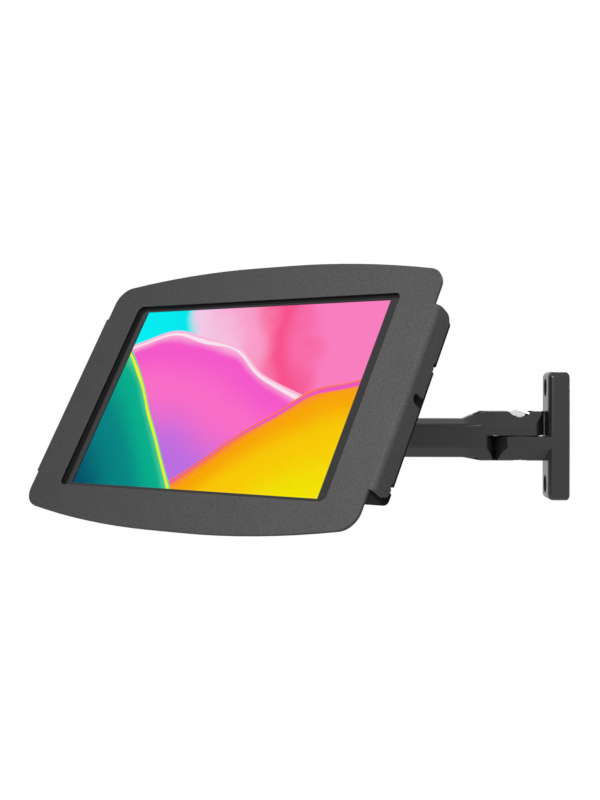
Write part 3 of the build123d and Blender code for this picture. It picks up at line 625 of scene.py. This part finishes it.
SKY = ((0.14, (0.0, 0.93, 0.98)), (0.40, (0.0, 0.85, 0.90)), (0.50, (0.95, 0.62, 0.84)),
       (0.70, (1.0, 0.36, 0.62)), (0.86, (0.98, 0.09, 0.28)), (1.0, (1.0, 0.22, 0.55)))
HILLS = (
    {"crest": 0.72, "slope": -0.10, "swing": 0.16, "rate": 4.6, "start": 0.5, "reach": 1.5,
     "ribbon": (1.0, 0.80, 0.90),
     "stops": ((0.0, (1.0, 0.50, 0.74)), (0.10, (0.96, 0.10, 0.62)), (0.45, (1.0, 0.16, 0.60)),
               (1.0, (0.52, 0.16, 0.80)))},
    {"crest": -0.16, "slope": 0.70, "swing": 0.10, "rate": 6.4, "start": 2.4, "reach": 1.6,
     "ribbon": (0.90, 0.10, 0.52),
     "stops": ((0.0, (1.0, 0.20, 0.05)), (0.14, (1.0, 0.40, 0.0)), (0.45, (1.0, 0.62, 0.0)),
               (1.0, (0.94, 0.84, 0.0)))},
    {"crest": 0.70, "slope": -1.45, "swing": 0.07, "rate": 7.2, "start": 1.2, "reach": 1.3,
     "ribbon": (0.86, 0.93, 0.02),
     "stops": ((0.0, (0.10, 0.75, 0.30)), (0.12, (0.0, 0.45, 0.28)), (0.5, (0.0, 0.24, 0.24)),
               (1.0, (0.0, 0.08, 0.14)))},
)


def depth_under(hill, across, up):
    """How far a point lies under a hill's rolling crest line."""
    line = hill["crest"] + hill["slope"] * across
    return line + hill["swing"] * (hill["rate"] * across + hill["start"]).sine() - up


def lit_picture(chosen):
    """Lit display: three rolling hills of wet paint under a cyan and pink sky, with thin ribbons."""
    finish = Finish("lit_picture", Roughness=0.3, Specular_IOR_Level=0.0,
                    Emission_Strength=chosen.brightness)
    across, up = picture_place(finish)
    drift = finish.noise(5e-2) - 0.5
    up = up + 0.10 * (finish.noise(5e-2, detail=0.0) - 0.5)
    picture = finish.ramp(across + 0.25 * up + 0.3 * drift, SKY)
    for hill in HILLS:
        depth = depth_under(hill, across, up)
        body = finish.ramp(depth * hill["reach"] + 0.15 * drift, hill["stops"])
        picture = finish.mix((depth * HILL_SHARPNESS + 0.5).clamped(), picture, body)
        width = RIBBON_WIDTH * (1.0 + 2.5 * drift)
        line = (1.0 - ((depth - RIBBON_DEPTH) / width).magnitude()) * RIBBON_SHARPNESS
        picture = finish.mix(line.clamped(), picture, hill["ribbon"])
    finish.colour((0.0, 0.0, 0.0))
    finish.feed(finish.shader.inputs["Emission Color"], picture)
    return finish.material


# Settings that a user would change
def colour_property(name, description, default):
    return bpy.props.FloatVectorProperty(
        name=name, description=description, default=default, size=3, min=0.0, max=1.0,
        subtype="COLOR")


def length_property(name, description, default):
    return bpy.props.FloatProperty(
        name=name, description=description, default=default, min=0.0, unit="LENGTH", precision=5)


def number_property(name, description, default):
    return bpy.props.FloatProperty(name=name, description=description, default=default, min=0.0)


class CastingSettings(bpy.types.PropertyGroup):
    paint: colour_property("Paint", "Colour of the castings", (0.018, 0.018, 0.0185))
    roughness: number_property("Roughness", "Roughness of the casting paint", 0.27)
    skin_depth: length_property("Skin depth", "Depth of the casting's uneven skin", 5e-6)
    edge: length_property("Edge rounding", "Rounding of the castings' edges", 4e-4)


class CoverSettings(bpy.types.PropertyGroup):
    coat: colour_property("Cover", "Colour of the cover's powder coat", (0.085, 0.085, 0.085))
    # partly painted shade: the pan's black coat is kept this dark so it also stands in for the shade
    # under the cover's fold
    black: colour_property("Pan", "Colour of the pan's powder coat", (0.015, 0.015, 0.015))
    coat_sheen: number_property("Cover's sheen", "Specular level of the cover's powder coat", 0.05)
    black_sheen: number_property("Pan's sheen", "Specular level of the pan's powder coat", 0.01)
    grain: length_property("Grain", "Size of the powder coat's grain", 1.2e-3)
    texture_depth: length_property("Texture depth", "Depth of the powder coat's texture", 3e-5)


class SmallPartSettings(bpy.types.PropertyGroup):
    bright: colour_property("Polished steel", "Colour of domed bolts and lock", (0.68, 0.68, 0.69))
    zinc: colour_property("Zinc", "Colour of the plated nuts, washers and catches", (0.62, 0.62, 0.60))
    oxide: colour_property("Black oxide", "Colour of the tilt bolt and screws", (0.035, 0.035, 0.038))
    bronze: colour_property("Bronze", "Colour of the sleeves", (0.50, 0.33, 0.15))
    nylon: colour_property("Nylon", "Colour of friction washers and nut rings", (0.02, 0.02, 0.021))
    foam: colour_property("Foam", "Colour of gasket, pads and spacers", (0.018, 0.018, 0.018))
    shank: length_property("Pin radius", "Radius of the upright pivot pins", 5e-3)
    tilt_shank: length_property("Tilt pin radius", "Radius of the tilt bolt", 4e-3)
    dome_rise: length_property("Dome rise", "Height of the pivot bolts' domed heads", 4.2e-3)
    dome_rim: length_property("Dome rim", "Height of the rim under the dome", 6e-4)


class TabletSettings(bpy.types.PropertyGroup):
    shell: colour_property("Shell", "Colour of the tablet's housing", (0.33, 0.34, 0.36))
    border: colour_property("Border", "Colour of the print round the display", (0.018, 0.018, 0.019))
    brightness: number_property("Brightness", "Strength of the lit display", 1.0)


class StudioSettings(bpy.types.PropertyGroup):
    key: number_property("Key light", "Power of the main lamp in watts", 3.3)
    back: number_property("Back light", "Power of the lamp behind the object in watts", 22.0)
    sky: number_property("Sky", "Strength of the world's light on the object", 0.08)
    floor_drop: length_property("Floor", "How far the floor lies below the wall plate's middle", 0.34)
    focal: bpy.props.FloatProperty(
        name="Focal length", description="Camera lens in millimetres", default=62.42, unit="CAMERA")


def settings_of(context, group):
    return getattr(context.scene, "tablet_mount_" + group)


# Operators
CASTINGS = ("wall_plate", "arm_link", "swivel_head", "tilt_head")
COATED_SHEETS = ("front_cover", "turn_plate")
ZINC_PIECES = ("wall_pivot_washers", "elbow_pivot_washers", "tilt_disc_spring", "turn_bolt",
               "clinch_nuts", "cover_catch", "lock_nut", "lock_cam", "cam_screw")
POLISHED_PIECES = ("lock_barrel", "lock_plug")
BLACK_PIECES = ("tilt_bolt", "plate_screws")
BRONZE_PIECES = ("pivot_bushes", "tilt_bush")
NYLON_PIECES = ("wall_lap_washer", "elbow_lap_washer", "tilt_washers", "turn_washers")
FOAM_PIECES = ("window_gasket", "rest_pads", "side_spacers")


class MOUNT_OT_castings(bpy.types.Operator):
    """Rounds the castings' edges and paints them."""
    bl_idname = "tablet_mount.castings"
    bl_label = "Castings"

    def execute(self, context):
        chosen = settings_of(context, "castings")
        paint = casting_paint(chosen)
        for node in CASTINGS:
            piece = merged_copy(node, node + "_casting", chosen.edge)
            dress(piece, paint, node)
        return {"FINISHED"}


class MOUNT_OT_sheet_metal(bpy.types.Operator):
    """Smooths the cover, pan and turning plate and powder-coats them."""
    bl_idname = "tablet_mount.sheet_metal"
    bl_label = "Sheet metal"

    def execute(self, context):
        chosen = settings_of(context, "cover")
        grey = powder_coat("powder_coat", chosen.coat, chosen.coat_sheen, chosen)
        for node in COATED_SHEETS:
            dress(merged_copy(node, node + "_sheet"), grey, node)
        # the pan's near-black coat, also painted shade for the shadowed parts under the cover
        black = powder_coat("black_coat", chosen.black, chosen.black_sheen, chosen)
        dress(merged_copy("back_pan", "back_pan_sheet"), black, "back_pan")
        return {"FINISHED"}


class MOUNT_OT_fasteners(bpy.types.Operator):
    """Smooths bolts, washers, sleeves, the lock and the foam pieces and gives each its finish."""
    bl_idname = "tablet_mount.fasteners"
    bl_label = "Fasteners, lock and pads"

    def execute(self, context):
        chosen = settings_of(context, "small_parts")
        groups = (
            (POLISHED_PIECES, "polished_steel", polished_steel(chosen)),
            (ZINC_PIECES, "bright_steel", zinc_plate(chosen)),
            (BLACK_PIECES, "black_steel", black_oxide(chosen)),
            (BRONZE_PIECES, "bronze", sintered_bronze(chosen)),
            (NYLON_PIECES, "nylon", black_nylon(chosen)),
            (FOAM_PIECES, "foam", closed_foam(chosen)),
        )
        for nodes, slot, material in groups:
            for node in nodes:
                dress(merged_copy(node, node + "_finished"), material, node)
        return {"FINISHED"}


class MOUNT_OT_pivots(bpy.types.Operator):
    """Makes the domed pivot bolts and the lock nuts with their nylon rings."""
    bl_idname = "tablet_mount.pivots"
    bl_label = "Pivot bolts and lock nuts"

    def execute(self, context):
        chosen = settings_of(context, "small_parts")
        steel, zinc, nylon = polished_steel(chosen), zinc_plate(chosen), black_nylon(chosen)
        pivots = [("wall_pivot", wall_frame(), chosen.shank),
                  ("elbow_pivot", elbow_frame(), chosen.shank)]
        for pin, place, shank in pivots:
            bolt = domed_bolt(pin + "_domed_bolt", pin + "_bolt", place, shank, chosen)
            dress(bolt, steel, pin + "_bolt")
        for pin, place, shank in [*pivots, ("tilt", fork_frame(), chosen.tilt_shank)]:
            node = pin + "_nut"
            dress(lock_nut(pin + "_lock_nut", node, place, shank), zinc, node)
            trim(nylon_insert(pin + "_nylon_ring", node, place, shank), nylon, node)
        return {"FINISHED"}


class MOUNT_OT_tablet(bpy.types.Operator):
    """Gives the tablet its shell, its bordered glass and its lit display."""
    bl_idname = "tablet_mount.tablet"
    bl_label = "Tablet"

    def execute(self, context):
        chosen = settings_of(context, "tablet")
        dress(merged_copy("tablet_housing", "tablet_shell"),
              anodised_shell(chosen), "tablet_housing")
        for node, slot, material in (("tablet_glass", "cover_glass", bordered_glass(chosen)),
                                     ("display_panel", "screen", lit_picture(chosen))):
            piece = merged_copy(node, node + "_lit")
            lay_out_picture(piece)
            dress(piece, material, node)
        return {"FINISHED"}


def lay_out_picture(piece):
    """UV map in which the display's rectangle is the unit square."""
    to_face = face_frame().inverted()
    half = extent("display_panel", to_face)[1]
    layer = piece.data.uv_layers.new(name=PICTURE_MAP)
    for loop in piece.data.loops:
        spot = to_face @ piece.data.vertices[loop.vertex_index].co
        layer.data[loop.index].uv = (0.5 + spot.x / (2 * half.x), 0.5 + spot.z / (2 * half.z))


class MOUNT_OT_studio(bpy.types.Operator):
    """Adds the floor, the lamps, the white world and the camera."""
    bl_idname = "tablet_mount.studio"
    bl_label = "Studio"

    def execute(self, context):
        chosen = settings_of(context, "studio")
        context.scene.view_settings.view_transform = "Standard"
        add_floor(-chosen.floor_drop)
        add_lamp("key_lamp", KEY_PLACE, KEY_SIZE, chosen.key)
        add_lamp("back_lamp", BACK_PLACE, BACK_SIZE, chosen.back)
        light_world(context.scene, chosen.sky)
        add_camera(context.scene, chosen.focal)
        return {"FINISHED"}


def add_floor(height):
    """Floor that keeps the object's soft shadow and turns to plain white further out."""
    bpy.ops.object.select_all(action="DESELECT")
    bpy.ops.mesh.primitive_plane_add(size=FLOOR_SIZE, location=(0, 0, height))
    floor = bpy.context.object
    floor.name = "studio_floor"
    finish = Finish("studio_floor", Roughness=0.9, Specular_IOR_Level=0.1)
    soft = finish.noise(0.6, detail=1.0)
    finish.colour(finish.mix(soft, (0.80, 0.80, 0.80), (0.82, 0.82, 0.82)))
    path = finish.node("ShaderNodeLightPath")
    camera, glossy, through = (Value(finish, path.outputs[ray]) for ray in VIEWING_RAYS)
    white = finish.node("ShaderNodeEmission", {}, {"Color": (1.0, 1.0, 1.0), "Strength": 1.0})
    spot = finish.node("ShaderNodeSeparateXYZ", {}, {0: finish.place()})
    along, across = (Value(finish, spot.outputs[axis]).magnitude() for axis in "XY")
    glow = (FLOOR_GLOW + along.above(across)).clamped()
    blend = finish.node("ShaderNodeMixShader", {}, {0: camera.above(glossy).above(through) * glow})
    finish.tree.links.new(finish.shader.outputs[0], blend.inputs[1])
    finish.tree.links.new(white.outputs[0], blend.inputs[2])
    output = finish.tree.nodes["Material Output"]
    finish.tree.links.new(blend.outputs[0], output.inputs["Surface"])
    floor.data.materials.append(finish.material)


def add_lamp(name, place, size, power):
    bpy.ops.object.select_all(action="DESELECT")
    bpy.ops.object.light_add(type="AREA", location=place)
    lamp = bpy.context.object
    lamp.name = name
    lamp.rotation_euler = (OBJECT_MIDDLE - place).to_track_quat("-Z", "Y").to_euler()
    lamp.data.size = size
    lamp.data.energy = power


def light_world(scene, strength):
    """White to the camera and in reflections, softer as light on the object."""
    world = bpy.data.worlds.new("studio_world")
    world.use_nodes = True
    scene.world = world
    nodes, links = world.node_tree.nodes, world.node_tree.links
    path = nodes.new("ShaderNodeLightPath")
    seen, *others = (path.outputs[ray] for ray in VIEWING_RAYS)
    for ray in others:
        either = nodes.new("ShaderNodeMath")
        either.operation = "MAXIMUM"
        links.new(seen, either.inputs[0])
        links.new(ray, either.inputs[1])
        seen = either.outputs[0]
    level = nodes.new("ShaderNodeMapRange")
    level.inputs["To Min"].default_value = strength
    level.inputs["To Max"].default_value = 1.0
    links.new(seen, level.inputs["Value"])
    background = nodes["Background"]
    background.inputs["Color"].default_value = (1.0, 1.0, 1.0, 1.0)
    links.new(level.outputs["Result"], background.inputs["Strength"])


def add_camera(scene, focal):
    bpy.ops.object.select_all(action="DESELECT")
    bpy.ops.object.camera_add(location=CAMERA_PLACE)
    camera = bpy.context.object
    camera.name = "photo_camera"
    level = Vector((-cos(CAMERA_YAW), -sin(CAMERA_YAW), -tan(CAMERA_DROP)))
    look = level.to_track_quat("-Z", "Y").to_matrix()
    camera.rotation_euler = (look @ Matrix.Rotation(CAMERA_ROLL, 3, "Z")).to_euler()
    camera.data.sensor_width = SENSOR_WIDTH
    camera.data.lens = focal
    camera.data.shift_x, camera.data.shift_y = CAMERA_SHIFT
    camera.data.clip_start, camera.data.clip_end = NEAREST, FURTHEST
    scene.camera = camera


class MOUNT_PT_panel(bpy.types.Panel):
    """Lists the steps and their settings."""
    bl_label = "Tablet mount"
    bl_idname = "MOUNT_PT_panel"
    bl_space_type = "VIEW_3D"
    bl_region_type = "UI"
    bl_category = "Tablet Mount"

    def draw(self, context):
        for group, kind in GROUPS.items():
            box = self.layout.box()
            for name in kind.__annotations__:
                box.prop(settings_of(context, group), name)
        for step in STEPS:
            self.layout.operator(step.bl_idname)


GROUPS = {
    "castings": CastingSettings, "cover": CoverSettings, "small_parts": SmallPartSettings,
    "tablet": TabletSettings, "studio": StudioSettings,
}
STEPS = (MOUNT_OT_castings, MOUNT_OT_sheet_metal, MOUNT_OT_fasteners, MOUNT_OT_pivots,
         MOUNT_OT_tablet, MOUNT_OT_studio)


def register():
    for kind in (*GROUPS.values(), *STEPS, MOUNT_PT_panel):
        bpy.utils.register_class(kind)
    for group, kind in GROUPS.items():
        setattr(bpy.types.Scene, "tablet_mount_" + group, bpy.props.PointerProperty(type=kind))


def unregister():
    for group in GROUPS:
        delattr(bpy.types.Scene, "tablet_mount_" + group)
    for kind in (MOUNT_PT_panel, *reversed(STEPS), *GROUPS.values()):
        bpy.utils.unregister_class(kind)


def main():
    register()
    bpy.ops.tablet_mount.castings()
    bpy.ops.tablet_mount.sheet_metal()
    bpy.ops.tablet_mount.fasteners()
    bpy.ops.tablet_mount.pivots()
    bpy.ops.tablet_mount.tablet()
    bpy.ops.tablet_mount.studio()


if __name__ == "__main__":
    main()
